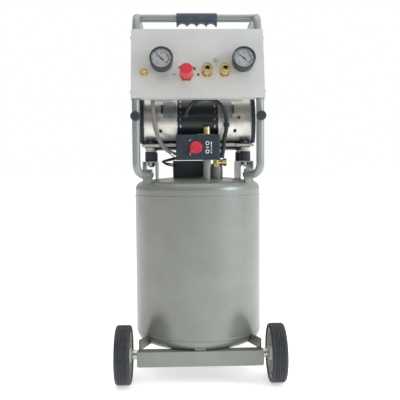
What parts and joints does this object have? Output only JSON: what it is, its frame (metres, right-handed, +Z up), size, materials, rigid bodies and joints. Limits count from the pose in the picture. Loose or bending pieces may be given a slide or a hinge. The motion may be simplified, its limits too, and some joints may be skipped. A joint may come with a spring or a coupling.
{
  "type": "air compressor",
  "caption": "Upright portable air compressor: vertical receiver tank on wheels, motor-driven piston pump above it, tilted control panel and top handle.",
  "frame": {"origin": "on the floor, under the middle of the machine's width and depth", "axes": "+X to the operator's right, -Y towards the operator, in front of the control panel, +Z up"},
  "size_m": [0.424, 0.3929, 0.947],
  "materials": {
    "tank_paint": "silver-grey enamel, satin",
    "frame_paint": "silver-grey powder coat, satin",
    "panel_paint": "light silver powder coat, satin",
    "zinc": "zinc-plated steel",
    "steel": "machined steel",
    "castings": "cast aluminium, semi-bright",
    "brass": "machined brass",
    "black_plastic": "moulded black plastic",
    "red_plastic": "moulded red plastic",
    "cream_plastic": "moulded cream plastic",
    "dial_white": "printed white dial",
    "needle_black": "black enamel",
    "lens": "clear gauge window",
    "rubber": "black moulded rubber",
    "tyre": "black rubber tyre",
    "black_metal": "black enamel",
    "copper_iron": "laminated iron core",
    "braid": "braided hose, grey-beige",
    "cable_black": "black cable sheath"
  },
  "bodies": {
    "chassis": {"tank_shell": "tank_paint", "tank_top_head": "tank_paint", "tank_bottom_head": "tank_paint", "tank_bosses": "tank_paint", "axle_beam": "tank_paint", "axle_straps": "tank_paint", "wheel_axle": "steel", "axle_nuts": "zinc", "rear_legs": "tank_paint", "rear_feet": "rubber", "drain_valve_body": "brass", "left_side_tube": "frame_paint", "right_side_tube": "frame_paint", "handle_bar": "frame_paint", "handle_grip": "rubber", "frame_bolts": "zinc", "frame_bumpers": "rubber", "control_panel": "panel_paint", "panel_screws": "zinc", "gauge_cases": "black_metal", "gauge_dials": "dial_white", "gauge_lenses": "lens", "regulator_body": "brass", "coupler_bodies": "brass", "safety_valve_body": "brass", "air_manifold": "castings", "motor_housing": "black_metal", "motor_stator": "copper_iron", "right_crankcase": "castings", "left_crankcase": "castings", "cylinder_heads": "castings", "fan_covers": "black_plastic", "saddle_rails": "frame_paint", "rubber_mounts": "rubber", "mount_studs": "zinc", "switch_base": "black_plastic", "switch_cover": "black_plastic", "unloader_valve": "brass", "tank_nipple": "tank_paint", "check_valve": "brass", "capacitor_box": "black_plastic", "braided_hose": "braid", "motor_cable": "cable_black", "discharge_tube": "castings"},
    "left_wheel": {"left_tyre": "tyre", "left_hub": "cream_plastic"},
    "right_wheel": {"right_tyre": "tyre", "right_hub": "cream_plastic"},
    "rotor": {"rotor_shaft": "steel", "cooling_fans": "black_plastic"},
    "left_piston": {"left_piston": "castings"},
    "right_piston": {"right_piston": "castings"},
    "regulator_knob": {"regulator_knob": "red_plastic"},
    "switch_knob": {"switch_knob": "red_plastic"},
    "tank_gauge_needle": {"tank_gauge_needle": "needle_black"},
    "outlet_gauge_needle": {"outlet_gauge_needle": "needle_black"},
    "left_coupler_sleeve": {"left_coupler_sleeve": "brass"},
    "right_coupler_sleeve": {"right_coupler_sleeve": "brass"},
    "safety_valve_ring": {"safety_valve_ring": "brass"},
    "drain_valve_handle": {"drain_valve_handle": "brass"}
  },
  "joints": [
    {"name": "left_wheel_roll", "type": "hinge", "parent": "chassis", "child": "left_wheel", "pos_m": [-0.193, -0.1225, 0.074], "axis": [1, 0, 0], "continuous": true},
    {"name": "right_wheel_roll", "type": "hinge", "parent": "chassis", "child": "right_wheel", "pos_m": [0.193, -0.1225, 0.074], "axis": [1, 0, 0], "continuous": true},
    {"name": "rotor_spin", "type": "hinge", "parent": "chassis", "child": "rotor", "pos_m": [0, 0.0275, 0.664], "axis": [1, 0, 0], "continuous": true},
    {"name": "left_piston_stroke", "type": "slide", "parent": "chassis", "child": "left_piston", "axis": [0, 0, 1], "range_m": [-0.008, 0.008]},
    {"name": "right_piston_stroke", "type": "slide", "parent": "chassis", "child": "right_piston", "axis": [0, 0, 1], "range_m": [-0.008, 0.008]},
    {"name": "regulator_turn", "type": "hinge", "parent": "chassis", "child": "regulator_knob", "pos_m": [-0.029, -0.11373, 0.78258], "axis": [0, -0.9703, 0.2419], "range_deg": [-540, 540]},
    {"name": "switch_turn", "type": "hinge", "parent": "chassis", "child": "switch_knob", "pos_m": [-0.0064, -0.0965, 0.5946], "axis": [0, -1, 0], "range_deg": [-90, 0]},
    {"name": "tank_gauge_swing", "type": "hinge", "parent": "chassis", "child": "tank_gauge_needle", "pos_m": [-0.091, -0.10442, 0.81581], "axis": [0, -0.9703, 0.2419], "range_deg": [-175, 95], "stiffness_Nm_per_rad": 0.001},
    {"name": "outlet_gauge_swing", "type": "hinge", "parent": "chassis", "child": "outlet_gauge_needle", "pos_m": [0.115, -0.10442, 0.81581], "axis": [0, -0.9703, 0.2419], "range_deg": [-183, 87], "stiffness_Nm_per_rad": 0.001},
    {"name": "left_sleeve_pull", "type": "slide", "parent": "chassis", "child": "left_coupler_sleeve", "axis": [0, 0.9703, -0.2419], "range_m": [0, 0.005], "stiffness_N_per_m": 600, "springref_m": -0.004},
    {"name": "right_sleeve_pull", "type": "slide", "parent": "chassis", "child": "right_coupler_sleeve", "axis": [0, 0.9703, -0.2419], "range_m": [0, 0.005], "stiffness_N_per_m": 600, "springref_m": -0.004},
    {"name": "safety_valve_pull", "type": "slide", "parent": "chassis", "child": "safety_valve_ring", "axis": [0, -0.9703, 0.2419], "range_m": [0, 0.003], "stiffness_N_per_m": 1500, "springref_m": -0.004},
    {"name": "drain_turn", "type": "hinge", "parent": "chassis", "child": "drain_valve_handle", "pos_m": [0, 0.0415, 0.035], "axis": [0, 1, 0], "range_deg": [0, 90]}
  ]
}
